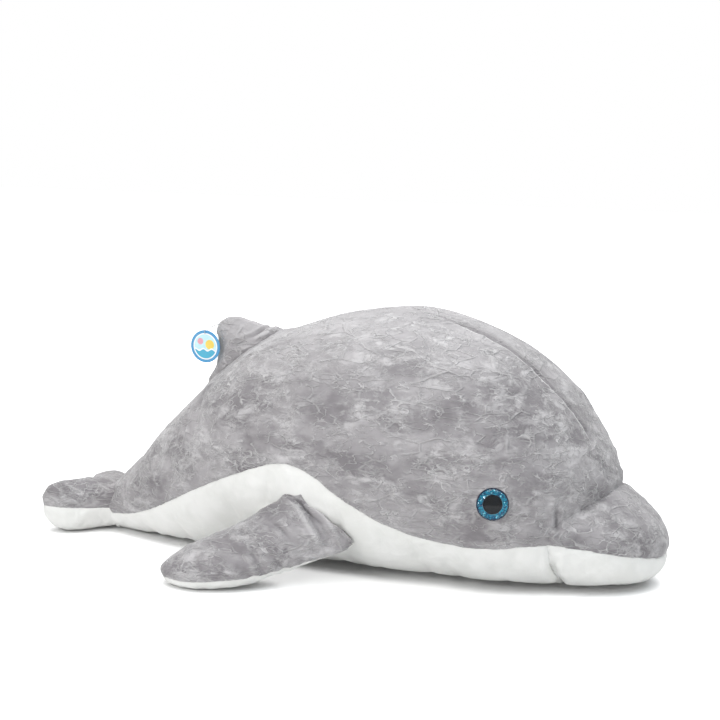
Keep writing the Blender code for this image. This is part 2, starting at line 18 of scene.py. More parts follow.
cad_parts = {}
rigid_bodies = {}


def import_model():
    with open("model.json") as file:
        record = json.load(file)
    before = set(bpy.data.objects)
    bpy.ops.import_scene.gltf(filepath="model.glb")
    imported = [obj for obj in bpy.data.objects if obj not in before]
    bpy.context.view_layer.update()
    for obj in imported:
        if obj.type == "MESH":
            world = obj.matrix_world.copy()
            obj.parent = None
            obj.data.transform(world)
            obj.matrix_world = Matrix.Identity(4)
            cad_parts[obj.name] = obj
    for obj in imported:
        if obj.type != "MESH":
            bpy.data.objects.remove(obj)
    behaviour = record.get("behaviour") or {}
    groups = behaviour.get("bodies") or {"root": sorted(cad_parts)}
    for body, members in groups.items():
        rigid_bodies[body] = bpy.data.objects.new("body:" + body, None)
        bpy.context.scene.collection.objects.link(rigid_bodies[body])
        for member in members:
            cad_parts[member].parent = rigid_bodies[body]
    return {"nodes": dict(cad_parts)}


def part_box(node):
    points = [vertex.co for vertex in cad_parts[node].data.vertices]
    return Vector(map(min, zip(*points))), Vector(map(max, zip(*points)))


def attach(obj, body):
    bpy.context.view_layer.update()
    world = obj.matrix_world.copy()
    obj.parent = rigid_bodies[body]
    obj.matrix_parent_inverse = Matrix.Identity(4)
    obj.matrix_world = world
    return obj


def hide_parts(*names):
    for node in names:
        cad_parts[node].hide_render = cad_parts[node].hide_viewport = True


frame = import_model()
scene = bpy.context.scene
solids = frame["nodes"]
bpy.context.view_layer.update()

# %% [markdown]
# ## Camera
# The photograph looks at the dolphin's right side from a little ahead and a little above. One plane
# upright to the view, through the middle of the toy, has a known size per pixel, so a pixel of the
# photograph can also be turned into a ray. That is used later to place creases where they are seen.

# %% The camera at the photograph's angle
VIEW_TURN = math.radians(23.5)
VIEW_RISE = math.radians(12.5)
VIEW_DISTANCE = 3.0
VIEW_TARGET = Vector((0.02, 0.0, 0.169))
TARGET_COLUMN = 360
TARGET_ROW = 450
FRAME_PIXELS = 720
PIXEL_SIZE = 0.0016
SENSOR_WIDTH = 36.0

view_right = Vector((math.cos(VIEW_TURN), math.sin(VIEW_TURN), 0))
view_back = Vector((
    math.sin(VIEW_TURN) * math.cos(VIEW_RISE),
    -math.cos(VIEW_TURN) * math.cos(VIEW_RISE),
    math.sin(VIEW_RISE),
))
view_up = view_back.cross(view_right)
camera = bpy.data.objects.new("camera", bpy.data.cameras.new("camera"))
camera.data.sensor_width = SENSOR_WIDTH
camera.data.lens = SENSOR_WIDTH * VIEW_DISTANCE / (PIXEL_SIZE * FRAME_PIXELS)
camera.data.shift_y = (TARGET_ROW - FRAME_PIXELS / 2) / FRAME_PIXELS
camera.matrix_world = Matrix((view_right, view_up, view_back)).transposed().to_4x4()
camera.location = VIEW_TARGET + view_back * VIEW_DISTANCE
scene.collection.objects.link(camera)
scene.camera = camera
scene.view_settings.view_transform = "Standard"
print("lens", round(camera.data.lens, 2), "mm")


def through_pixel(column, row):
    """Direction from the camera through a pixel of the photograph."""
    across = view_right * (column - TARGET_COLUMN) * PIXEL_SIZE
    upward = view_up * (TARGET_ROW - row) * PIXEL_SIZE
    return (VIEW_TARGET + across + upward - camera.location).normalized()


# %% [markdown]
# ## Shader nodes
# Every finish is made of nodes. One short helper adds a node, sets its properties and sets or links
# its inputs.

# %% A helper for shader nodes
def add_node(tree, kind, inputs=None, **settings):
    """Add a shader node; inputs maps a socket's name or number to a value or to another socket."""
    node = tree.nodes.new(kind)
    for name, value in settings.items():
        setattr(node, name, value)
    for socket, value in (inputs or {}).items():
        if isinstance(value, bpy.types.NodeSocket):
            tree.links.new(value, node.inputs[socket])
        else:
            node.inputs[socket].default_value = value
    return node


def new_finish(name, **inputs):
    """A Principled material with plain values; returns the material, its tree and its shader."""
    finish = bpy.data.materials.new(name)
    finish.use_nodes = True
    shader = finish.node_tree.nodes["Principled BSDF"]
    for socket, value in inputs.items():
        shader.inputs[socket.replace("_", " ")].default_value = value
    return finish, finish.node_tree, shader


def between(tree, value, low, high, start=0.0, end=1.0):
    """Socket with the value's span from low to high stretched smoothly to start and end."""
    limits = {"Value": value, "From Min": low, "From Max": high, "To Min": start, "To Max": end}
    node = add_node(tree, "ShaderNodeMapRange", limits, interpolation_type="SMOOTHSTEP")
    return node.outputs["Result"]


def calculate(tree, operation, first, second):
    """Socket with the result of a Math node."""
    return add_node(tree, "ShaderNodeMath", {0: first, 1: second}, operation=operation).outputs[0]


def move_vectors(tree, operation, first, second):
    """Socket with the result of a Vector Math node on two vectors."""
    return add_node(tree, "ShaderNodeVectorMath", {0: first, 1: second}, operation=operation).outputs[0]


def own_metres(tree):
    """Socket of the place on the toy, in metres."""
    return add_node(tree, "ShaderNodeTexCoord").outputs["Object"]


def blend_colours(tree, share, first, second):
    """Socket with two colours mixed by a share."""
    node = add_node(tree, "ShaderNodeMix", {"Factor": share}, data_type="RGBA")
    for socket, value in ((node.inputs[6], first), (node.inputs[7], second)):
        if isinstance(value, bpy.types.NodeSocket):
            tree.links.new(value, socket)
        else:
            socket.default_value = (*value, 1.0)
    return node.outputs[2]


print("helpers for finishes ready")

# %% [markdown]
# ## Floor and light
# The toy lies on a plain white floor. Seen by the camera the floor glows, so that it is white, and it
# glows least where the toy covers it closely, so that the toy's shadow stays. The world is white to
# the camera, and to rays that reflect or pass through plastic, and dimmer as a light.

# %% Floor and world
FLOOR_COLOUR = (0.86, 0.86, 0.86)
NEAR_FLOOR = 0.5
FAR_FLOOR = 1.7
SHADE_REACH = 0.035
SHADE_SHARES = (0.22, 0.66)
SHADE_GLOW = 0.02
OPEN_GLOW = 0.55
WORLD_LIGHT = 0.26
FLOOR_SIZE = 12.0
FLOOR_DROP = 0.0005


def new_piece(name, shell):
    """An object at the origin with smooth faces made of that bmesh, which is freed."""
    for face in shell.faces:
        face.smooth = True
    made = bpy.data.meshes.new(name)
    shell.to_mesh(made)
    shell.free()
    piece = bpy.data.objects.new(name, made)
    scene.collection.objects.link(piece)
    return piece


def background_rays(tree):
    """Socket that is 1 for rays from the camera, reflected ones and those that went through plastic."""
    path = add_node(tree, "ShaderNodeLightPath")
    seen = calculate(tree, "MAXIMUM", path.outputs["Is Camera Ray"], path.outputs["Is Glossy Ray"])
    return calculate(tree, "MAXIMUM", seen, path.outputs["Is Transmission Ray"])


sheet = bmesh.new()
bmesh.ops.create_grid(sheet, x_segments=1, y_segments=1, size=FLOOR_SIZE / 2)
floor = new_piece("floor", sheet)
floor.location.z = -FLOOR_DROP

floor_finish, tree, shader = new_finish("floor", Base_Color=(*FLOOR_COLOUR, 1.0), Roughness=0.9)
shader.inputs["Emission Color"].default_value = (1, 1, 1, 1)
seen = background_rays(tree)
away = add_node(tree, "ShaderNodeVectorMath", {0: own_metres(tree)}, operation="LENGTH").outputs["Value"]
cover = add_node(tree, "ShaderNodeAmbientOcclusion", {"Distance": SHADE_REACH}, samples=12)
glow = between(tree, cover.outputs["AO"], *SHADE_SHARES, SHADE_GLOW, OPEN_GLOW)
glow = calculate(tree, "MAXIMUM", glow, between(tree, away, NEAR_FLOOR, FAR_FLOOR))
tree.links.new(calculate(tree, "MULTIPLY", seen, glow), shader.inputs["Emission Strength"])
floor.data.materials.append(floor_finish)

world = bpy.data.worlds.new("studio")
world.use_nodes = True
tree = world.node_tree
strength = between(tree, background_rays(tree), 0.0, 1.0, WORLD_LIGHT, 1.0)
background = tree.nodes["Background"]
background.inputs["Color"].default_value = (1, 1, 1, 1)
tree.links.new(strength, background.inputs["Strength"])
scene.world = world
print("floor", FLOOR_SIZE, "m wide")

# %% [markdown]
# ## Lamps
# Softboxes stand in a ring about a place in front of the eye, which shows each of them as a highlight.
# Each is given by its turn from the camera's side, its rise above the floor and its distance.

# %% Softboxes
LIT_PLACE = (0.21, -0.17, 0.12)
Lamp = namedtuple("Lamp", "name side rise distance width height roll watts colour")
LAMPS = (
    Lamp("overhead softbox", 10, 84, 2.4, 2.2, 1.6, 0, 36.0, (1, 1, 1)),
    Lamp("back softbox", 170, 52, 2.6, 2.0, 1.0, 0, 34.0, (1, 1, 1)),
    Lamp("key softbox", -43, 30, 2.6, 1.40, 0.22, -28, 24.0, (1, 1, 1)),
    Lamp("low left softbox", -66, 3, 2.6, 0.28, 0.20, 0, 4.5, (1, 1, 1)),
    Lamp("low right softbox", 48, 3, 2.6, 0.32, 0.20, 0, 5.5, (1, 1, 1)),
    Lamp("upper right strip", 56, 44, 2.6, 0.90, 0.12, 40, 6.0, (0.70, 0.88, 1.0)),
)
for lamp in LAMPS:
    light = bpy.data.lights.new(lamp.name, "AREA")
    light.shape = "RECTANGLE"
    light.size = lamp.width
    light.size_y = lamp.height
    light.energy = lamp.watts
    light.color = lamp.colour
    holder = bpy.data.objects.new(lamp.name, light)
    turn = Matrix.Rotation(VIEW_TURN + math.radians(lamp.side), 4, "Z")
    rise = Matrix.Rotation(math.radians(90 - lamp.rise), 4, "X")
    roll = Matrix.Rotation(math.radians(lamp.roll), 4, "Z")
    away = Matrix.Translation((0, 0, lamp.distance))
    holder.matrix_world = Matrix.Translation(LIT_PLACE) @ turn @ rise @ away @ roll
    scene.collection.objects.link(holder)
print(len(LAMPS), "lamps")

# %% [markdown]
# ## Patterns of crushed pile
# Crushed pile has feathery patches and thin folds, with a painted highlight on one side and painted
# shade just below. Noise on pushed coordinates makes the patches. Curly folds follow the middle value
# of a noise, and straight ones the edges of a pattern of cells. All of it reads the toy's own metres.

# %% Patterns from the toy's metres
# How far below each fold's painted highlight its painted shade is drawn
FOLD_SHADE = 0.0016


def warped_metres(tree, finer, reach, stretch=(1, 1, 1)):
    """The toy's metres pushed about by noise, for patterns with no regular edge."""
    metres = own_metres(tree)
    push = add_node(tree, "ShaderNodeTexNoise", {"Vector": metres, "Scale": finer, "Detail": 3.0})
    centred = move_vectors(tree, "SUBTRACT", push.outputs["Color"], (0.5, 0.5, 0.5))
    scaled = move_vectors(tree, "MULTIPLY", centred, (reach, reach, reach))
    pushed = move_vectors(tree, "ADD", metres, scaled)
    return move_vectors(tree, "MULTIPLY", pushed, stretch)


def plush_noise(tree, vector, scale, detail, roughness, distortion=0.0):
    """Socket of a noise's value."""
    settings = {
        "Vector": vector, "Scale": scale, "Detail": detail, "Roughness": roughness,
        "Distortion": distortion,
    }
    return add_node(tree, "ShaderNodeTexNoise", settings).outputs["Fac"]


def span_share(tree, value, starts, ends):
    """Socket of the product of a value's shares of two spans: a band that fades at both ends."""
    return calculate(tree, "MULTIPLY", between(tree, value, *starts), between(tree, value, *ends))


def soft_folds(tree, vector, scale, reach):
    """Two sockets: a painted highlight just above a noise's middle, fading upwards, and painted shade just
    below it.
    """
    height = plush_noise(tree, vector, scale, 1.0, 0.45)
    light = span_share(tree, height, (0.5 + reach, 0.5), (0.497, 0.503))
    dark = span_share(tree, height, (0.5 - 0.6 * reach, 0.5), (0.503, 0.497))
    return light, dark


def sharp_folds(tree, metres, vector, scale, width):
    """Two sockets: the straight edges of a pattern of cells as a painted highlight, and painted shade just
    below.
    """
    rough = calculate(tree, "MULTIPLY", plush_noise(tree, metres, 150.0, 2.0, 0.5), 0.05)
    both = []
    for down in (0.0, FOLD_SHADE):
        moved = move_vectors(tree, "ADD", vector, (0, 0, down))
        cells = add_node(
            tree, "ShaderNodeTexVoronoi", {"Vector": moved, "Scale": scale}, feature="DISTANCE_TO_EDGE"
        )
        away = calculate(tree, "SUBTRACT", cells.outputs["Distance"], rough)
        both.append(between(tree, away, width * scale, -0.02))
    return both


def bump_plush(tree, shader, relief, fold_strength, grain, pile_strength):
    """Bump a plush with its folds, and with a pile of that grain on top."""
    folds = {"Strength": fold_strength, "Distance": 0.004, "Height": relief}
    pile = {
        "Strength": pile_strength, "Distance": 0.0015,
        "Height": plush_noise(tree, own_metres(tree), grain, 2.0, 0.6),
        "Normal": add_node(tree, "ShaderNodeBump", folds).outputs[0],
    }
    tree.links.new(add_node(tree, "ShaderNodeBump", pile).outputs[0], shader.inputs["Normal"])


print("patterns ready")

# %% [markdown]
# ## Crushed plush
# The grey cloth is a short pile that has been crushed, so patches of it lean another way and look
# lighter. Pile can be made of hair, but millions of hairs don't leave this program, so a fine bump
# and a sheen stand for it. The grey is painted lighter towards the top, as painted top light. Two
# numbers on the skin's vertices place painted shade in pressed folds with a painted highlight on their
# lips, and painted shade beyond the ridge seam with a painted highlight along it.

# %% The grey plush
GREY_DARK = (0.228, 0.215, 0.226)
GREY_MIDDLE = (0.388, 0.372, 0.384)
GREY_LIGHT = (0.640, 0.625, 0.635)
# Painted highlight on folds, fold lips and the ridge seam; painted shade under folds
PAINTED_HIGHLIGHT = (0.740, 0.730, 0.735)
PAINTED_SHADE = (0.230, 0.220, 0.230)
# Painted shade deep in pressed folds
PAINTED_CREASE_SHADE = (0.140, 0.134, 0.142)
# Heights over which the grey is painted lighter towards the top: painted top light
TOP_LIGHT_HEIGHTS = (0.29, 0.41)
TOP_LIGHT_SHARE = 0.42
RIDGE_SHOWS = (0.15, 0.22)
RIDGE_ENDS = (0.41, 0.40)
# Where a painted highlight runs along the ridge seam, and where painted shade lies beyond it
SEAM_HIGHLIGHT_STARTS = (-0.0055, -0.0035)
SEAM_HIGHLIGHT_ENDS = (-0.0002, -0.0016)
FAR_SHADE_STARTS = (-0.0005, 0.001)
FAR_SHADE_ENDS = (0.030, 0.001)
FoldPattern = namedtuple("FoldPattern", "sharp scale width strength groups")
FOLD_PATTERNS = (
    FoldPattern(True, 30.0, 0.0010, 0.30, 18.0),
    FoldPattern(True, 52.0, 0.0010, 0.28, 27.0),
    FoldPattern(False, 36.0, 0.040, 0.62, 15.0),
    FoldPattern(False, 62.0, 0.055, 0.62, 21.0),
    FoldPattern(False, 100.0, 0.070, 0.55, 28.0),
)


def crushed_plush(name):
    """Grey plush: feathery patches, painted highlight and shade on its folds, painted top light."""
    finish, tree, shader = new_finish(
        name, Roughness=0.85, Sheen_Weight=0.6, Sheen_Roughness=0.4, Specular_IOR_Level=0.2
    )
    metres = own_metres(tree)
    feathered = warped_metres(tree, 70.0, 0.009, (0.60, 0.85, 1.35))
    shade = between(tree, plush_noise(tree, feathered, 13.0, 4.0, 0.6), 0.38, 0.62)
    colour = blend_colours(tree, shade, GREY_DARK, GREY_MIDDLE)
    veil = plush_noise(tree, move_vectors(tree, "ADD", metres, (2, 7, 1)), 16.0, 3.0, 0.55)
    veil = between(tree, veil, 0.36, 0.60)
    patches = plush_noise(tree, move_vectors(tree, "ADD", feathered, (3, 1, 5)), 46.0, 7.0, 0.76, 0.5)
    patches = calculate(tree, "MULTIPLY", between(tree, patches, 0.42, 0.62), veil)
    colour = blend_colours(tree, calculate(tree, "MULTIPLY", patches, 0.85), colour, GREY_LIGHT)
    relief = calculate(tree, "MULTIPLY", patches, 0.5)
    place = add_node(tree, "ShaderNodeSeparateXYZ", {0: metres})
    # Painted top light: the grey turns lighter towards the top of the toy
    painted_top_light = between(tree, place.outputs["Z"], *TOP_LIGHT_HEIGHTS, 0.0, TOP_LIGHT_SHARE)
    colour = blend_colours(tree, painted_top_light, colour, GREY_LIGHT)

    straight = warped_metres(tree, 30.0, 0.006, (0.50, 0.75, 1.50))
    curly = warped_metres(tree, 80.0, 0.005, (0.55, 0.80, 1.45))
    for number, fold in enumerate(FOLD_PATTERNS):
        aside = (7.3 * number, 3.1 * number, 5.7 * number)
        drawn = move_vectors(tree, "ADD", straight if fold.sharp else curly, aside)
        if fold.sharp:
            light, dark = sharp_folds(tree, metres, drawn, fold.scale, fold.width)
        else:
            light, dark = soft_folds(tree, drawn, fold.scale, fold.width)
        groups = plush_noise(tree, move_vectors(tree, "ADD", metres, aside), fold.groups, 2.0, 0.5)
        where = between(tree, groups, 0.50, 0.61)
        light = calculate(tree, "MULTIPLY", light, where)
        dark = calculate(tree, "MULTIPLY", dark, where)
        # Each fold's painted shade, then its painted highlight
        for side, tint in ((dark, PAINTED_SHADE), (light, PAINTED_HIGHLIGHT)):
            colour = blend_colours(tree, calculate(tree, "MULTIPLY", side, fold.strength), colour, tint)
        relief = calculate(tree, "ADD", relief, light)

    # Over the head: painted shade on the strip beyond the ridge seam, painted highlight along its near
    # side
    ridge = add_node(tree, "ShaderNodeAttribute", attribute_name="ridge_seam").outputs["Fac"]
    ahead = span_share(tree, place.outputs["X"], RIDGE_SHOWS, RIDGE_ENDS)
    painted_far_shade = calculate(tree, "MULTIPLY", span_share(tree, ridge, FAR_SHADE_STARTS, FAR_SHADE_ENDS), ahead)
    colour = blend_colours(tree, calculate(tree, "MULTIPLY", painted_far_shade, 0.8), colour, GREY_DARK)
    line = calculate(tree, "MULTIPLY", span_share(tree, ridge, SEAM_HIGHLIGHT_STARTS, SEAM_HIGHLIGHT_ENDS), ahead)
    colour = blend_colours(tree, calculate(tree, "MULTIPLY", line, 0.9), colour, PAINTED_HIGHLIGHT)
    # Painted shade in pressed folds and a painted highlight on their lips
    shade = add_node(tree, "ShaderNodeAttribute", attribute_name="fold_shade").outputs["Fac"]
    colour = blend_colours(tree, between(tree, shade, -0.1, -0.9, 0.0, 0.85), colour, PAINTED_CREASE_SHADE)
    colour = blend_colours(tree, between(tree, shade, 0.1, 0.5, 0.0, 0.45), colour, PAINTED_HIGHLIGHT)
    tree.links.new(colour, shader.inputs["Base Color"])

    bump_plush(tree, shader, relief, 0.6, 620.0, 0.35)
    return finish


grey_plush = crushed_plush("grey crushed plush")
print("grey plush:", len(grey_plush.node_tree.nodes), "nodes")

# %% [markdown]
# ## White plush
# The belly is the same cloth in white, not crushed. It needs only a faint mottling and the fine bump
# of its pile.

# %% The white plush
WHITE_SHADED = (0.820, 0.825, 0.800)
WHITE_CLEAN = (0.890, 0.892, 0.872)


def smooth_plush(name, shaded, clean):
    """Plush that isn't crushed, with faint mottling."""
    finish, tree, shader = new_finish(
        name, Roughness=0.9, Sheen_Weight=0.35, Sheen_Roughness=0.5, Specular_IOR_Level=0.15
    )
    pushed = warped_metres(tree, 14.0, 0.03)
    mottling = between(tree, plush_noise(tree, pushed, 16.0, 5.0, 0.6), 0.35, 0.62)
    tree.links.new(blend_colours(tree, mottling, shaded, clean), shader.inputs["Base Color"])
    creases = plush_noise(tree, pushed, 24.0, 3.0, 0.5, 0.8)
    bump_plush(tree, shader, creases, 0.25, 560.0, 0.30)
    return finish


white_plush = smooth_plush("white plush", WHITE_SHADED, WHITE_CLEAN)
fibre = smooth_plush("polyester fibre", (0.80, 0.80, 0.78), (0.92, 0.92, 0.90))
print("white plush and fibre ready")

# %% [markdown]
# ## The sewn forms
# The toy is five sewn forms. Each has its panels, its seams, the size of its even faces, the furthest
# that stuffing may push its cloth and, for a limb, the way in which its open root points.

# %% Forms and their panels
Form = namedtuple("Form", "name panels seams voxel cap root_way")
BODY_SEAMS = ("colour_seam", "beak_seam", "ridge_seam")
LIMB_SEAMS = ("colour_seam",)
FORMS = (
    Form(
        "body", ("back_panel_right", "back_panel_left", "belly_panel", "beak_upper", "beak_lower"),
        BODY_SEAMS, 0.0075, 0.008, None,
    ),
    Form(
        "dorsal_fin", ("dorsal_fin_right", "dorsal_fin_left"),
        LIMB_SEAMS, 0.0050, 0.006, Vector((0, 0, -1)),
    ),
    Form(
        "flipper_right", ("flipper_right_upper", "flipper_right_lower"),
        LIMB_SEAMS, 0.0055, 0.007, Vector((0, 1, 0)),
    ),
    Form(
        "flipper_left", ("flipper_left_upper", "flipper_left_lower"),
        LIMB_SEAMS, 0.0055, 0.007, Vector((0, -1, 0)),
    ),
    Form("fluke", ("fluke_upper", "fluke_lower"), LIMB_SEAMS, 0.0050, 0.006, Vector((1, 0, 0))),
)
print(len(FORMS), "forms,", sum(len(form.panels) for form in FORMS), "panels")

# %% [markdown]
# ## From solids to one closed cage
# Each cloth panel is a thin solid shell here, and the panels of one sewn form stop a hair's breadth
# apart at their seams. Taking the outer side of each and welding them gives a coarse closed cage.

# %% The outer sides of a form's panels, welded
WELD = 0.0012
SAME_PLACE = 1e-5
ROOT_DEPTH = 0.025
ROOT_FACING = 0.4
OUTER_REACH = 0.015
CLOTH = 0.003


def shell_of(piece):
    """A piece's mesh as an editable copy."""
    shell = bmesh.new()
    shell.from_mesh(piece.data)
    return shell


def welded(name):
    """A solid's mesh as an editable copy, with one vertex at each corner."""
    shell = shell_of(solids[name])
    bmesh.ops.remove_doubles(shell, verts=shell.verts[:], dist=SAME_PLACE)
    shell.normal_update()
    return shell


def tree_of(piece):
    """Search tree of a piece as it is now."""
    shell = shell_of(piece)
    tree = BVHTree.FromBMesh(shell)
    shell.free()
    return tree


def outer_side(name, filling):
    """A cloth panel's outer side: what is left without the vertices that face its filling."""
    shell = welded(name)
    inner = [v for v in shell.verts if (v.co - filling.find_nearest(v.co)[0]).dot(v.normal) < 0]
    bmesh.ops.delete(shell, geom=inner, context="VERTS")
    return shell


def sewn_cage(form):
    """The outer sides of a form's panels welded at their seams, and each panel's search tree."""
    filling = tree_of(solids[form.name + "_stuffing"])
    cage = bmesh.new()
    sides = {}
    for name in form.panels:
        shell = outer_side(name, filling)
        sides[name] = BVHTree.FromBMesh(shell)
        sheet = bpy.data.meshes.new("sheet")
        shell.to_mesh(sheet)
        shell.free()
        cage.from_mesh(sheet)
        bpy.data.meshes.remove(sheet)
    bmesh.ops.remove_doubles(cage, verts=cage.verts[:], dist=WELD)
    return cage, sides


def closed_cage(form, cage):
    """The cage closed: small holes are filled, and a limb's open root goes on into the body."""
    if form.root_way is None:
        open_edges = [edge for edge in cage.edges if edge.is_boundary]
        bmesh.ops.holes_fill(cage, edges=open_edges, sides=0)
        bmesh.ops.recalc_face_normals(cage, faces=cage.faces[:])
        return cage
    outer = BVHTree.FromBMesh(cage)
    cage.free()
    limb = welded(form.name + "_stuffing")
    moves = []
    for vert in limb.verts:
        hit = outer.ray_cast(vert.co, vert.normal, OUTER_REACH)[0]
        if hit is not None:
            moves.append(hit - vert.co)
        elif vert.normal.dot(form.root_way) > ROOT_FACING:
            moves.append(form.root_way * ROOT_DEPTH)
        else:
            moves.append(vert.normal * CLOTH)
    for vert, move in zip(limb.verts, moves):
        vert.co += move
    return limb


print("welds up to", WELD * 1000, "mm")

# %% [markdown]
# ## From cages to skins
# A Subdivision Surface rounds the cage, and a voxel remesh gives even faces, which cloth needs.

# %% Even skins
def apply_modifiers(piece):
    """Keep what the modifiers make as the piece's own mesh."""
    graph = bpy.context.evaluated_depsgraph_get()
    made = bpy.data.meshes.new_from_object(piece.evaluated_get(graph), depsgraph=graph)
    piece.modifiers.clear()
    old = piece.data
    piece.data = made
    bpy.data.meshes.remove(old)


def even_skin(name, cage, voxel):
    """The cage rounded and remeshed to even faces."""
    skin = new_piece(name, cage)
    rounded = skin.modifiers.new("rounded", "SUBSURF")
    rounded.levels = 2
    rounded.render_levels = 2
    remesh = skin.modifiers.new("even faces", "REMESH")
    remesh.mode = "VOXEL"
    remesh.voxel_size = voxel
    apply_modifiers(skin)
    return skin


skins = {}
panel_trees = {}
for form in FORMS:
    cage, panel_trees[form.name] = sewn_cage(form)
    skins[form.name] = even_skin(form.name + "_form", closed_cage(form, cage), form.voxel)
    print(form.name, "skin:", len(skins[form.name].data.polygons), "faces")

# %% [markdown]
# ## Numbers on vertices
# Places, directions and numbers are read and written as arrays, which is faster than one by one.

# %% Arrays of vertices
def read_numbers(source, field, width):
    """A field of vertices or of an attribute as an array, with so many numbers for each."""
    values = np.empty(len(source) * width, np.float32)
    source.foreach_get(field, values)
    return values.astype(float)


def points_of(piece):
    """The vertices' places as an array."""
    return read_numbers(piece.data.vertices, "co", 3).reshape(-1, 3)


def normals_of(piece):
    """The vertices' outward directions as an array."""
    return read_numbers(piece.data.vertices, "normal", 3).reshape(-1, 3)


def seam_values(piece, seam):
    """A seam's numbers as an array."""
    return read_numbers(piece.data.attributes[seam].data, "value", 1)


def write_layer(piece, name, values):
    """Keep a number for each vertex."""
    layer = piece.data.attributes.new(name, "FLOAT", "POINT")
    layer.data.foreach_set("value", values.astype(np.float32))


def set_points(piece, places):
    """Move the vertices to those places."""
    piece.data.vertices.foreach_set("co", places.astype(np.float32).ravel())
    piece.data.update()


print("top of the body:", points_of(skins["body"])[:, 2].max().round(3), "m")

# %% [markdown]
# ## Where the seams run
# The remesh forgets the panels, so each vertex keeps a number for every seam: how much nearer it is
# to the panels on one side than to those on the other. It is zero along the seam and rides through
# simulation and subdivision.

# %% Seam numbers on the vertices
BACK = ("back_panel_right", "back_panel_left")
SMOOTHING = 6


def eased(piece, values, rounds):
    """Values averaged with those of the neighbouring vertices."""
    ends = np.empty(len(piece.data.edges) * 2, np.int32)
    piece.data.edges.foreach_get("vertices", ends)
    ends = ends.reshape(-1, 2)
    links = np.bincount(ends.ravel(), minlength=len(values)).astype(float)
    for _ in range(rounds):
        total = np.bincount(ends[:, 0], values[ends[:, 1]], len(values))
        total += np.bincount(ends[:, 1], values[ends[:, 0]], len(values))
        values = 0.5 * values + 0.5 * total / links
    return values


def number_seam(piece, seam, trees, before, after):
    """Write the seam's number: below zero on the panels named before, above it on those named after."""
    values = []
    for place in points_of(piece):
        gaps = [[trees[name].find_nearest(place)[3] for name in names] for names in (before, after)]
        values.append(min(gaps[0]) - min(gaps[1]))
    write_layer(piece, seam, eased(piece, np.array(values), SMOOTHING))


trees = panel_trees["body"]
number_seam(skins["body"], "colour_seam", trees, BACK + ("beak_upper",), ("belly_panel", "beak_lower"))
number_seam(skins["body"], "beak_seam", trees, BACK + ("belly_panel",), ("beak_upper", "beak_lower"))
for form in FORMS[1:]:
    number_seam(skins[form.name], "colour_seam", panel_trees[form.name], form.panels[:1], form.panels[1:])
print("seam numbers of", len(FORMS), "forms")

# %% [markdown]
# ## Filling the skins
# Stuffing presses on the cloth from inside. A cloth simulation with pressure and no gravity gives the
# soft swelling between seams that hold still. A skin first shrinks a little, since it swells, and no
# vertex may move further than a cap, so that the toy keeps its size. What the floor holds stays.

# %% Cloth under pressure
SHRINK = 0.003
HELD_SHRINK = 0.3
HELD_WIDTH = 0.6
FRAMES = 20
FLOOR_HOLD = 0.002
CLOTH_SETTINGS = {
    "quality": 5, "mass": 0.3, "tension_stiffness": 12, "compression_stiffness": 8, "shear_stiffness": 5,
    "bending_stiffness": 0.4, "use_pressure": True, "uniform_pressure_force": 4.0, "shrink_min": -0.02,
}


def swollen(piece, held):
    """Places of the vertices after the cloth simulation."""
    group = piece.vertex_groups.new(name="held")
    group.add([int(i) for i in np.flatnonzero(held)], 1.0, "REPLACE")
    cloth = piece.modifiers.new("pressure of the stuffing", "CLOTH").settings
    for name, value in CLOTH_SETTINGS.items():
        setattr(cloth, name, value)
    cloth.effector_weights.gravity = 0.0
    cloth.vertex_group_mass = group.name
    for number in range(1, FRAMES + 1):
        scene.frame_set(number)
    places = points_of(piece.evaluated_get(bpy.context.evaluated_depsgraph_get()))
    piece.modifiers.clear()
    piece.vertex_groups.clear()
    scene.frame_set(1)
    return places


def fill(piece, form):
    """Swell a skin that is held at its seams and at the floor, then smooth it once."""
    start = points_of(piece)
    held = start[:, 2] < FLOOR_HOLD
    held |= np.abs(seam_values(piece, "colour_seam")) < form.voxel * HELD_WIDTH
    shrunk = start - normals_of(piece) * SHRINK * np.where(held, HELD_SHRINK, 1.0)[:, None]
    set_points(piece, shrunk)
    moved = swollen(piece, held) - shrunk
    reach = np.linalg.norm(moved, axis=1)
    print(form.name, "moved", round(reach.mean() * 1000, 1), "mm, at most", round(reach.max() * 1000, 1))
    moved *= np.minimum(1.0, form.cap / np.maximum(reach, 1e-9))[:, None]
    set_points(piece, shrunk + moved)
    finer = piece.modifiers.new("finer", "SUBSURF")
    finer.levels = 1
    finer.render_levels = 1
    apply_modifiers(piece)


for form in FORMS:
    fill(skins[form.name], form)
print("faces:", sum(len(skin.data.polygons) for skin in skins.values()))

# %% [markdown]
# ## Where the folds run
# Folds are drawn as lines of photograph pixels and cast onto their form. A fold is pressed in with a
# raised lip beside it, and is repeated on the unseen side. Its width, depth and lip are in metres.

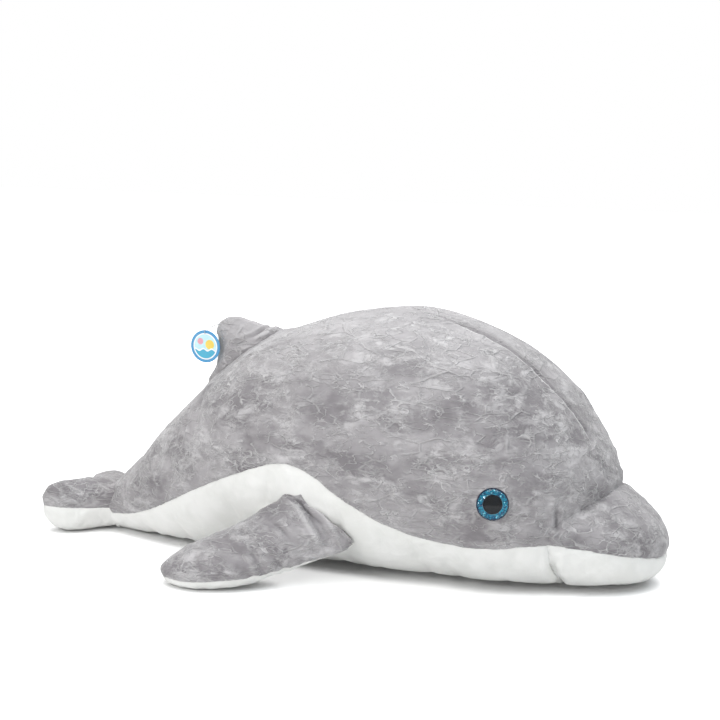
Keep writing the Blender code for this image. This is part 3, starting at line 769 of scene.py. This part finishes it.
# %% Folds seen in the photograph
Fold = namedtuple("Fold", "pixels width depth lip")
FOLDS = {
    "body": (
        Fold(((559, 500), (557, 512), (558, 525), (560, 538)), 0.004, 0.0035, 0.002),
        Fold(((560, 547), (553, 556), (554, 568), (561, 579)), 0.006, 0.0035, 0.0025),
        Fold(((127, 474), (125, 488), (127, 503)), 0.003, 0.0025, 0.0012),
        Fold(((134, 472), (133, 488), (135, 504)), 0.003, 0.002, 0.0012),
        Fold(((188, 410), (185, 428), (180, 448)), 0.004, 0.002, 0.0015),
        Fold(((149, 457), (153, 475), (157, 496)), 0.004, 0.0015, 0.002),
        Fold(((290, 342), (262, 352), (236, 362)), 0.0035, 0.003, 0.002),
    ),
    "dorsal_fin": (
        Fold(((291, 330), (270, 327), (253, 337), (233, 344)), 0.0035, 0.004, 0.0025),
        Fold(((276, 336), (253, 343), (233, 346)), 0.0035, 0.0035, 0.002),
        Fold(((265, 344), (242, 354)), 0.0035, 0.003, 0.0015),
    ),
    "flipper_right": (
        Fold(((284, 490), (303, 503), (318, 520), (329, 541)), 0.005, 0.009, 0.003),
        Fold(((302, 508), (313, 524), (323, 543)), 0.0042, 0.0065, 0.002),
        Fold(((269, 519), (281, 529), (292, 541)), 0.004, 0.0035, 0.0015),
        Fold(((237, 527), (247, 536)), 0.004, 0.0025, 0.0015),
        Fold(((248, 548), (262, 570)), 0.0045, 0.003, 0.002),
        Fold(((240, 571), (259, 581)), 0.004, 0.0025, 0.0015),
        Fold(((272, 557), (289, 574)), 0.0045, 0.003, 0.002),
        Fold(((299, 558), (307, 565)), 0.004, 0.0025, 0.0015),
    ),
}
PIXELS_A_STEP = 1.5
LIP_PLACE = 2.1
FOLD_MARGIN = 5
FOLD_ENDS = 0.06
FOLD_POWER = 0.6


def line_on_form(tree, pixels):
    """Places on the form under a line of the photograph's pixels."""
    places = []
    for (column, row), (next_column, next_row) in zip(pixels, pixels[1:]):
        steps = max(1, round(math.hypot(next_column - column, next_row - row) / PIXELS_A_STEP))
        for share in np.linspace(0, 1, steps + 1):
            ray = through_pixel(column + (next_column - column) * share, row + (next_row - row) * share)
            hit = tree.ray_cast(camera.location, ray)[0]
            if hit is not None:
                places.append(hit)
    return np.array(places)


def fold_shape(places, line, fold):
    """A fold's valley and its lip at each vertex, from 0 to 1, fading at the line's ends."""
    valley = np.zeros(len(places))
    lip = np.zeros(len(places))
    margin = FOLD_MARGIN * fold.width
    near = np.all((places > line.min(0) - margin) & (places < line.max(0) + margin), axis=1)
    index = np.flatnonzero(near)
    if not len(index):
        return valley, lip
    gaps = np.linalg.norm(places[index][:, None] - line[None], axis=2)
    share = gaps.argmin(axis=1) / max(1, len(line) - 1)
    fade = np.sin(np.pi * np.clip(share, FOLD_ENDS, 1 - FOLD_ENDS)) ** FOLD_POWER
    gap = gaps.min(axis=1) / fold.width
    valley[index] = fade * np.exp(-(gap**2))
    lip[index] = fade * np.exp(-((gap - LIP_PLACE) ** 2))
    return valley, lip


fold_lines = {}
for name, folds in FOLDS.items():
    tree = tree_of(skins[name])
    fold_lines[name] = [line_on_form(tree, fold.pixels) for fold in folds]
    print(name, "folds with", [len(line) for line in fold_lines[name]], "places")

# %% [markdown]
# ## Grooves and lumps
# A seam pulls the cloth in, so the skin sinks in a narrow groove there, deepest where the beak is sewn
# on. Slow noise gives the lumps of hand stuffing and finer noise a crumple, which is stronger on grey.
# The fin and the back rise a little where they are sewn together.

# %% Heights of grooves, folds, lumps and roots
Groove = namedtuple("Groove", "depth width")
SEAM_GROOVE = Groove(0.0030, 0.0045)
BEAK_GROOVE = Groove(0.0045, 0.0055)
BEAK_GREY = 0.35
RIDGE_GROOVE = Groove(0.0014, 0.0025)
RIDGE_WELT = Groove(-0.0008, 0.004)
WELT_PLACE = 0.006
FULL_SHADE = 0.006
LIP_SHADE = 0.5
LUMP_HEIGHT = 0.0022
LUMP_SIZE = 0.085
CRUMPLE_SIZE = 0.034
CRUMPLE_GROUPS = 0.11
CRUMPLE_STRETCH = (0.65, 1.0, 1.25)
CRUMPLE_SHARPNESS = 2.4
CRUMPLE_SPREAD = 0.6
WHITE_CRUMPLE = 0.0006
GREY_CRUMPLE = 0.0018
JOINED = {"body": "dorsal_fin", "dorsal_fin": "body"}
ROOT_BLEND = 0.030
ROOT_RISE = 0.006
FIN_LEVEL = 0.20


def noise_at(places, size, seed):
    """Smooth noise of that grain at the places, from -1 to 1."""
    shift = Vector((seed, -seed, 2 * seed))
    return np.array([noise.noise(Vector(place) / size + shift) for place in places])


def pressed(gaps, groove):
    """Heights of a groove, from the distance to its middle."""
    return -groove.depth * np.exp(-((gaps / groove.width) ** 2))


def body_grooves(skin, grey):
    """Grooves that only the body has: at the beak, and at the ridge between its two raised sides."""
    beak = seam_values(skin, "beak_seam")
    side = np.abs(seam_values(skin, "ridge_seam"))
    ridge = pressed(side, RIDGE_GROOVE) + pressed(side - WELT_PLACE, RIDGE_WELT)
    return pressed(beak, BEAK_GROOVE) * (1 - BEAK_GREY * grey) + grey * (beak < 0) * ridge


def folds_of(places, name):
    """Heights of a form's own folds and of those mirrored from the right side, with painted shade and
    highlight.
    """
    heights = np.zeros(len(places))
    shade = np.zeros(len(places))
    for form_name, folds in FOLDS.items():
        flips = [1] if form_name == name else []
        if form_name.replace("right", "left") == name:
            flips.append(-1)
        for flip in flips:
            for fold, line in zip(folds, fold_lines[form_name]):
                valley, lip = fold_shape(places, line * (1, flip, 1), fold)
                heights += fold.lip * lip - fold.depth * valley
                shade += (LIP_SHADE * lip - valley) * min(1.0, fold.depth / FULL_SHADE)
    return heights, shade


def lumps(places, grey):
    """Heights of lumps and crumples."""
    sharp = np.abs(noise_at(places * CRUMPLE_STRETCH, CRUMPLE_SIZE, 8.0))
    crumple = np.clip(1 - sharp * CRUMPLE_SHARPNESS, 0, 1) ** 2
    crumple *= np.clip(noise_at(places, CRUMPLE_GROUPS, 5.0) + CRUMPLE_SPREAD, 0, 1)
    return LUMP_HEIGHT * noise_at(places, LUMP_SIZE, 3.0) + (WHITE_CRUMPLE + GREY_CRUMPLE * grey) * crumple


def root_rise(places, name):
    """Heights where the fin and the back are sewn together."""
    other = tree_of(skins[JOINED[name]])
    reach = np.array([other.find_nearest(place, ROOT_BLEND)[3] or ROOT_BLEND for place in places])
    return ROOT_RISE * (1 - reach / ROOT_BLEND) ** 2 * (places[:, 2] > FIN_LEVEL)


print("grooves from", RIDGE_GROOVE.depth * 1000, "to", BEAK_GROOVE.depth * 1000, "mm deep")

# %% [markdown]
# ## The ridge seam and the skins' last form
# Over the head the ridge seam leans to the right. All heights then move the skin along its normals,
# each flipper's upper corner leans ahead and down, and the flukes tilt a little.

# %% Skins pressed and raised
RIDGE_LEAN = 0.035
LEAN_FROM = 0.05
LEAN_TO = 0.22
GREY_EDGE = 0.01
FLIPPER_CORNER = (0.085, 0.205, 0.085)
CORNER_REACH = 0.050
CORNER_PUSH = (0.010, 0.0, -0.009)
FLUKE_TILT = 0.11
FLUKE_REACH = 0.10

places = points_of(skins["body"])
over_head = np.clip((places[:, 0] - LEAN_FROM) / (LEAN_TO - LEAN_FROM), 0, 1)
lean = RIDGE_LEAN * over_head**2 * (3 - 2 * over_head)
write_layer(skins["body"], "ridge_seam", places[:, 1] + lean)

for form in FORMS:
    skin = skins[form.name]
    places = points_of(skin)
    colour = seam_values(skin, "colour_seam")
    grey = np.clip(0.5 - colour / GREY_EDGE, 0, 1)
    heights, shade = folds_of(places, form.name)
    # fold_shade: painted shade in fold valleys below zero, painted highlight on their lips above zero
    write_layer(skin, "fold_shade", shade)
    heights += pressed(colour, SEAM_GROOVE) + lumps(places, grey)
    if form.name == "body":
        heights += body_grooves(skin, grey)
    if form.name in JOINED:
        heights += root_rise(places, form.name)
    places += normals_of(skin) * heights[:, None]
    if form.name.startswith("flipper"):
        corner = np.array(FLIPPER_CORNER) * (1, np.sign(places[:, 1].mean()), 1)
        near = np.exp(-(np.linalg.norm(places - corner, axis=1) / CORNER_REACH) ** 2)
        places += near[:, None] * np.array(CORNER_PUSH)
    if form.name == "fluke":
        places[:, 2] *= 1 - FLUKE_TILT * np.clip(places[:, 1] / FLUKE_REACH, -1, 1)
    places[:, 2] = np.maximum(places[:, 2], 0.0)
    set_points(skin, places)
    span = [round(float(height) * 1000, 1) for height in (heights.min(), heights.max())]
    print(form.name, "pressed and raised by", span, "mm")

# %% [markdown]
# ## Room for the eyes
# A locked eye pulls the plush flat against its back. Round each eye the skin is pressed down to the
# plane behind the ring, and the pull fades out a little way beyond its edge.

# %% Seats of the eyes
EYE_RADIUS = 0.024
SEAT_DEPTH = -0.0008
SEAT_FADE = 0.022
SEAT_MARGIN = 0.003
SEAT_LAYER = 0.03


def seat_of(name):
    """Place and direction of an eye, from its ring's middle and flattest direction."""
    places = np.array([vert.co for vert in solids[name].data.vertices])
    places = np.unique(places.round(6), axis=0)
    middle = places.mean(0)
    axis = Vector(np.linalg.svd(places - middle, full_matrices=False)[2][2])
    if axis.y * middle[1] < 0:
        axis.negate()
    return Matrix.Translation(middle) @ axis.to_track_quat("Z", "Y").to_matrix().to_4x4()


for side in ("right", "left"):
    seat = seat_of("eye_iris_" + side)
    places = points_of(skins["body"])
    turned_in = np.array(seat.inverted())
    local = places @ turned_in[:3, :3].T + turned_in[:3, 3]
    away = np.linalg.norm(local[:, :2], axis=1)
    pull = np.clip(1 - (away - EYE_RADIUS) / SEAT_FADE, 0, 1) ** 2 * (np.abs(local[:, 2]) < SEAT_LAYER)
    depth = np.where(away < EYE_RADIUS + SEAT_MARGIN, SEAT_DEPTH, np.minimum(local[:, 2], SEAT_DEPTH))
    local[:, 2] += (depth - local[:, 2]) * pull
    back = np.array(seat)
    set_points(skins["body"], local @ back[:3, :3].T + back[:3, 3])
    print(side, "eye seated, skin moved at", int((pull > 0).sum()), "vertices")

# %% [markdown]
# ## Cutting along a seam
# The library wants a piece for each sewn panel, so the skin is cut where a seam's numbers are zero. A
# Solidify modifier then gives each panel 3 mm of cloth on the inside.

# %% Tools that cut a skin into panels
ON_SEAM = 0.0003


def cut_along(shell, layer):
    """Cut the faces along the line where a seam's number is zero."""
    for vert in shell.verts:
        if abs(vert[layer]) < ON_SEAM:
            vert[layer] = 0.0
    for edge in shell.edges[:]:
        first, second = edge.verts
        if first[layer] * second[layer] < 0:
            share = first[layer] / (first[layer] - second[layer])
            bmesh.utils.edge_split(edge, first, share)[1][layer] = 0.0
    line = [vert for vert in shell.verts if vert[layer] == 0.0]
    bmesh.ops.connect_verts(shell, verts=line)


def lies_on(face, layers, sides):
    """Whether a face lies on that side of each seam: True past it, False before it, None either."""
    past = [sum(vert[layer] for vert in face.verts) > 0 for layer in layers]
    return all(side is None or side == found for side, found in zip(sides, past))


def cloth_piece(name, shell, rest, finish, slot, fill_share):
    """A panel made of the shell without the rest, with the cloth's thickness on its inside."""
    panel = shell.copy()
    panel.faces.ensure_lookup_table()
    bmesh.ops.delete(panel, geom=[panel.faces[index] for index in rest], context="FACES")
    piece = new_piece(name + "_cloth", panel)
    thickness = piece.modifiers.new("cloth", "SOLIDIFY")
    thickness.thickness = CLOTH
    thickness.offset = -1
    piece.data.materials.append(finish)
    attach(piece, "root")
    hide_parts(name)
    return piece


print("tools for cutting ready")

# %% [markdown]
# ## Apart along the seams
# Three seams cross on the body, and the signs of their numbers sort its faces into five panels. Each
# limb has one seam and two panels. Past the colour seam the cloth is white, except on the fin.

# %% One piece for each panel
BODY_SIDES = {
    "back_panel_right": (False, False, False),
    "back_panel_left": (False, False, True),
    "belly_panel": (True, False, None),
    "beak_upper": (False, True, None),
    "beak_lower": (True, True, None),
}
BODY_FILL = 0.8
LIMB_FILL = 0.7

for form in FORMS:
    shell = shell_of(skins[form.name])
    layers = [shell.verts.layers.float[seam] for seam in form.seams]
    for layer in layers:
        cut_along(shell, layer)
    shell.faces.index_update()
    fill_share = BODY_FILL if form.name == "body" else LIMB_FILL
    for name in form.panels:
        sides = BODY_SIDES.get(name, (name != form.panels[0],))
        rest = [face.index for face in shell.faces if not lies_on(face, layers, sides)]
        white = sides[0] and form.name != "dorsal_fin"
        dress = (white_plush, "white_plush") if white else (grey_plush, "grey_plush")
        piece = cloth_piece(name, shell, rest, *dress, fill_share)
        print(name, len(piece.data.polygons), "faces")
    shell.free()

# %% [markdown]
# ## The stuffing
# Polyester fibre fills every form, and a cut through the toy shows it. Each filling is a coarser copy
# of the skin, drawn in by the cloth.

# %% Fillings
FILLING_VOXEL = 0.010
FILLING_INSET = 0.0065
FILLING_ROOM = 0.0045

for form in FORMS:
    filling = skins[form.name]
    outer = tree_of(filling)
    stuffing = form.name + "_stuffing"
    filling.name = stuffing + "_fibre"
    coarse = filling.modifiers.new("coarser", "REMESH")
    coarse.mode = "VOXEL"
    coarse.voxel_size = FILLING_VOXEL
    coarse.use_smooth_shade = True
    apply_modifiers(filling)
    inside = []
    for place, outward in zip(points_of(filling), normals_of(filling)):
        inset = Vector(place - outward * FILLING_INSET)
        near, direction, _, _ = outer.find_nearest(inset)
        deep = (near - inset).dot(direction)
        inside.append(place - outward * (FILLING_INSET + max(0.0, FILLING_ROOM - deep)))
    set_points(filling, np.array(inside))
    filling.data.materials.append(fibre)
    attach(filling, "root")
    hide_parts(stuffing)
print(len(FORMS), "fillings")

# %% [markdown]
# ## The eyes
# A safety eye is a clear acrylic dome over a ring of glitter, round a black pupil whose post goes
# through the cloth into a locking washer. Glitter is a pattern of small cells, each of its own shade,
# and a few bright cells are painted glints.

# %% Finishes of the eye
lens_finish, _, _ = new_finish(
    "clear acrylic", Base_Color=(1, 1, 1, 1), Roughness=0.02, Transmission_Weight=1.0, IOR=1.36
)
bond_finish, _, _ = new_finish(
    "bonded back", Base_Color=(1, 1, 1, 1), Roughness=0.0, Transmission_Weight=1.0, IOR=1.0
)
pupil_finish, _, _ = new_finish(
    "black plastic", Base_Color=(0.002, 0.003, 0.005, 1), Roughness=0.4, Specular_IOR_Level=0.0
)
# The ring's dark edge: partly a dark-blue border, partly painted shadow at the dome's edge
rim_and_shadow_finish, _, _ = new_finish(
    "dark rim", Base_Color=(0.002, 0.012, 0.040, 1), Roughness=0.4, Specular_IOR_Level=0.1
)
washer_finish, _, _ = new_finish("polypropylene", Base_Color=(0.85, 0.85, 0.82, 1), Roughness=0.5)

GLITTER_DEEP = (0.000, 0.040, 0.110)
GLITTER_CLEAR = (0.003, 0.27, 0.40)
GLITTER_GLINT = (0.35, 0.85, 0.90)
FLAKES_A_METRE = 700.0
glitter, tree, shader = new_finish("blue glitter", Roughness=0.4, Specular_IOR_Level=0.1)
flakes = add_node(tree, "ShaderNodeTexVoronoi", {"Vector": own_metres(tree), "Scale": FLAKES_A_METRE})
chance = add_node(tree, "ShaderNodeSeparateColor", {0: flakes.outputs["Color"]})
sea = blend_colours(tree, between(tree, chance.outputs[0], 0.2, 1), GLITTER_DEEP, GLITTER_CLEAR)
# A few flakes get a painted glint
painted_glint = between(tree, chance.outputs[1], 0.93, 1.0)
tree.links.new(blend_colours(tree, painted_glint, sea, GLITTER_GLINT), shader.inputs["Base Color"])
print("flakes of glitter", round(1000 / FLAKES_A_METRE, 1), "mm wide")

# %% [markdown]
# ## Turning the eye's parts
# Each part is a profile spun about the eye's axis, which is measured on the ring's solid. A face may
# get a second finish by its place: the dome's flat back is bonded to the ring, so it bends no light,
# and the ring's outer edge is dark, partly a dark-blue border and partly painted shadow at the dome's
# edge.

# %% A tool that turns parts, and the eye's sizes
EYE_STEPS = 64
DOME_STEPS = 14
SHARP_ANGLE = math.radians(40)
LENS_BACK = 0.0008
LENS_CHAMFER = 0.0004
LENS_EDGE = 0.0023
LENS_TOP = 0.0118
IRIS_INNER = 0.0138
IRIS_HALF = 0.0005
RIM_WIDTH = 0.0034
PUPIL_RADIUS = 0.0135
POST_RADIUS = 0.0030
POST_END = -0.0165
WASHER_RADIUS = 0.011
WASHER_HOLE = 0.0033
WASHER_LOW = -0.0081
WASHER_HIGH = -0.0061


def turned(name, profile, seat, finishes, second=None, steps=EYE_STEPS):
    """A shape spun from (radius, height) points about the seat's Z axis; second picks faces by middle."""
    shape = bmesh.new()
    verts = [shape.verts.new((radius, 0, height)) for radius, height in profile]
    edges = [shape.edges.new(pair) for pair in zip(verts, verts[1:])]
    if profile[0][0] > 0:
        edges.append(shape.edges.new((verts[-1], verts[0])))
    bmesh.ops.spin(
        shape, geom=verts + edges, cent=(0, 0, 0), axis=(0, 0, 1), angle=2 * math.pi, steps=steps,
        use_merge=True,
    )
    bmesh.ops.remove_doubles(shape, verts=shape.verts[:], dist=1e-6)
    bmesh.ops.recalc_face_normals(shape, faces=shape.faces[:])
    for face in shape.faces:
        if second is not None and second(face.calc_center_median()):
            face.material_index = 1
    for edge in shape.edges:
        edge.smooth = edge.is_manifold and edge.calc_face_angle() < SHARP_ANGLE
    bmesh.ops.transform(shape, matrix=seat, verts=shape.verts[:])
    piece = new_piece(name, shape)
    for finish in finishes:
        piece.data.materials.append(finish)
    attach(piece, "root")
    return piece


print("eye", EYE_RADIUS * 2000, "mm wide")

# %% [markdown]
# ## The eye's profiles
# A profile is a list of points, each with its radius and its height above the seat. The dome's is half
# an ellipse on a short straight edge.

# %% Both eyes
dome = [
    (EYE_RADIUS * math.cos(turn), LENS_EDGE + (LENS_TOP - LENS_EDGE) * math.sin(turn))
    for turn in np.linspace(0, math.pi / 2, DOME_STEPS)[:-1]
]
lens_profile = [
    (0, LENS_BACK), (EYE_RADIUS - LENS_CHAMFER, LENS_BACK), (EYE_RADIUS, LENS_BACK + LENS_CHAMFER), *dome,
    (0, LENS_TOP),
]
iris_profile = [
    (IRIS_INNER, -IRIS_HALF), (EYE_RADIUS - RIM_WIDTH, -IRIS_HALF), (EYE_RADIUS, -IRIS_HALF),
    (EYE_RADIUS, IRIS_HALF), (EYE_RADIUS - RIM_WIDTH, IRIS_HALF), (IRIS_INNER, IRIS_HALF),
]
pupil_profile = [
    (0, IRIS_HALF), (PUPIL_RADIUS, IRIS_HALF), (PUPIL_RADIUS, -IRIS_HALF), (POST_RADIUS, -IRIS_HALF),
    (POST_RADIUS, POST_END), (0, POST_END),
]
washer_profile = [
    (WASHER_HOLE, WASHER_LOW), (WASHER_RADIUS, WASHER_LOW), (WASHER_RADIUS, WASHER_HIGH),
    (WASHER_HOLE, WASHER_HIGH),
]


def at_back(middle):
    """Whether a face is of the dome's flat back."""
    return middle.z < LENS_BACK + LENS_CHAMFER / 2


def at_rim(middle):
    """Whether a face is of the ring's dark edge: dark-blue border and painted shadow."""
    return middle.xy.length > EYE_RADIUS - RIM_WIDTH


for side in ("right", "left"):
    seat = seat_of("eye_iris_" + side)
    parts = (
        ("eye_lens_", lens_profile, [lens_finish, bond_finish], at_back, "eye_lens"),
        ("eye_iris_", iris_profile, [glitter, rim_and_shadow_finish], at_rim, "eye_glitter"),
        ("eye_pupil_", pupil_profile, [pupil_finish], None, "eye_pupil"),
        ("eye_washer_", washer_profile, [washer_finish], None, "eye_washer"),
    )
    for start, profile, finishes, second, slot in parts:
        piece = turned(start + side + "_turned", profile, seat, finishes, second)
        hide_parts(start + side)
print("eyes at", seat_of("eye_iris_right").translation)

# %% [markdown]
# ## The swing tag
# A round coated card hangs from a nylon loop through the back edge of the fin. Its print here is a
# plain sun over waves in a blue border. The shapes of the print are sums on the tag's own metres.

# %% The tag and its print
TAG_STEPS = 96
PRINT_EDGE = 0.01
WAVE_RATE = 11.0
WAVE_HEIGHT = 0.06
SKY = (0.55, 0.83, 0.90)
SUN = (0.90, 0.66, 0.10)
CLOUD = (0.80, 0.35, 0.42)
FOAM = (0.90, 0.92, 0.93)
WATER = (0.05, 0.42, 0.62)
BORDER = (0.05, 0.30, 0.58)
low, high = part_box("swing_tag")
tag_middle = (low + high) / 2
tag_radius = (high.x - low.x) / 2
tag_half = (high.y - low.y) / 2
tag_seat = Matrix.Translation(tag_middle) @ Matrix.Rotation(math.pi / 2, 4, "X")
tag_profile = [(0, -tag_half), (tag_radius, -tag_half), (tag_radius, tag_half), (0, tag_half)]

card, tree, shader = new_finish("printed card", Roughness=0.25)
centred = move_vectors(tree, "ADD", own_metres(tree), tuple(tag_middle * -1))
in_radii = move_vectors(tree, "MULTIPLY", centred, (1 / tag_radius, 0, 1 / tag_radius))


def disc_share(middle, radius):
    """Socket that is 1 inside a circle of the print, whose middle and radius are in tag radii."""
    place = (middle[0], 0, middle[1])
    away = add_node(tree, "ShaderNodeVectorMath", {0: in_radii, 1: place}, operation="DISTANCE")
    return between(tree, away.outputs["Value"], radius + PRINT_EDGE, radius - PRINT_EDGE)


axes = add_node(tree, "ShaderNodeSeparateXYZ", {0: in_radii})
ripple = calculate(tree, "SINE", calculate(tree, "MULTIPLY", axes.outputs["X"], WAVE_RATE), 0.0)
level = calculate(tree, "ADD", axes.outputs["Z"], calculate(tree, "MULTIPLY", ripple, WAVE_HEIGHT))
printed = SKY
for share, tint in (
    (disc_share((0.30, 0.12), 0.30), SUN),
    (disc_share((-0.34, 0.30), 0.20), CLOUD),
    (between(tree, level, -0.15, -0.17), FOAM),
    (between(tree, level, -0.24, -0.26), WATER),
):
    printed = blend_colours(tree, share, printed, tint)
for radius, tint in ((0.74, FOAM), (0.82, BORDER)):
    printed = blend_colours(tree, disc_share((0, 0), radius), tint, printed)
tree.links.new(printed, shader.inputs["Base Color"])

tag = turned("swing_tag_card", tag_profile, tag_seat, [card], steps=TAG_STEPS)
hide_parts("swing_tag")
print("tag of", round(tag_radius * 2000), "mm")

# %% [markdown]
# ## The tag's loop
# The loop keeps the shape of its solid, with smooth shading.

# %% Nylon loop
nylon, _, _ = new_finish(
    "nylon", Base_Color=(0.85, 0.87, 0.88, 1), Roughness=0.15, Transmission_Weight=0.6, IOR=1.5
)
loop = new_piece("tag_loop_nylon", welded("tag_loop"))
loop.data.materials.append(nylon)
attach(loop, "root")
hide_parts("tag_loop")
print("loop:", len(loop.data.polygons), "faces")
